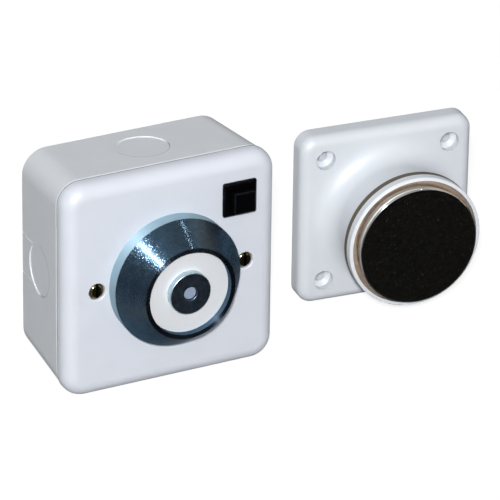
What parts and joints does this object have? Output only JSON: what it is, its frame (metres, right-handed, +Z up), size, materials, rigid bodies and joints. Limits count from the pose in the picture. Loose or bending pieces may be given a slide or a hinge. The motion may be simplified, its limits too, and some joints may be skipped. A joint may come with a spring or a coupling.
{
  "type": "electromagnetic door holder",
  "caption": "Electromagnetic door holder: a pot magnet with release button on a surface wall box, and its swivelling armature on a square base that fixes to the door.",
  "frame": {"origin": "middle of the wall box's back face, on the wall plane", "axes": "+Z up, +X to the right seen from the front, +Y into the wall; the armature half stands to the right, level with the box and turned a little, as in the picture"},
  "size_m": [0.1835, 0.058, 0.086],
  "materials": {
    "white_moulding": "white moulded plastic, semi-gloss",
    "zinc_plate": "turned steel, bright zinc plate",
    "pole_steel": "ground steel, dark",
    "coil_filling": "cast filling, warm white",
    "black_plastic": "black moulded plastic, gloss",
    "brass": "turned brass",
    "copper": "enamelled copper wire",
    "natural_nylon": "natural nylon",
    "plated_steel": "zinc-plated steel fastener",
    "red_insulation": "soft wire insulation, red",
    "black_insulation": "soft wire insulation, black",
    "chrome": "polished chrome plate",
    "black_rubber": "moulded rubber"
  },
  "bodies": {
    "fixed_parts": {"back_box": "white_moulding", "box_inserts": "brass", "front_plate": "white_moulding", "plate_screws": "brass", "magnet_cup": "zinc_plate", "magnet_core": "pole_steel", "coil_bobbin": "natural_nylon", "coil_winding": "copper", "coil_potting": "coil_filling", "magnet_bolt": "plated_steel", "bolt_washer": "plated_steel", "bolt_spring_washer": "plated_steel", "lead_bush": "natural_nylon", "switch_housing": "black_plastic", "switch_contacts": "brass", "button_spring": "plated_steel", "switch_clip": "plated_steel", "terminal_block": "natural_nylon", "terminal_clamps": "brass", "terminal_screws": "plated_steel", "block_screw": "plated_steel", "suppression_diode": "black_plastic", "coil_lead_feed": "red_insulation", "coil_lead_return": "black_insulation", "switch_lead": "red_insulation", "keeper_base": "white_moulding", "ball_stud": "plated_steel", "stud_washer": "plated_steel", "stud_nut": "plated_steel"},
    "release_button": {"button_cap": "black_plastic", "contact_bridge": "brass"},
    "swivel_liner": {"ball_liner": "natural_nylon"},
    "armature": {"armature_carrier": "white_moulding", "buffer_ring": "black_rubber", "armature_disc": "chrome", "carrier_screws": "plated_steel"}
  },
  "joints": [
    {"name": "button_press", "type": "slide", "parent": "fixed_parts", "child": "release_button", "axis": [0, 1, 0], "range_m": [0, 0.0025], "stiffness_N_per_m": 300, "springref_m": -0.002, "deforming": ["button_spring"]},
    {"name": "armature_tilt", "type": "hinge", "parent": "fixed_parts", "child": "swivel_liner", "pos_m": [0.103, -0.03276, -0.0081], "axis": [0.9951, -0.0988, 0], "range_deg": [-3, 3]},
    {"name": "armature_swing", "type": "hinge", "parent": "swivel_liner", "child": "armature", "pos_m": [0.103, -0.03276, -0.0081], "axis": [0, 0, 1], "range_deg": [-3, 3]}
  ]
}
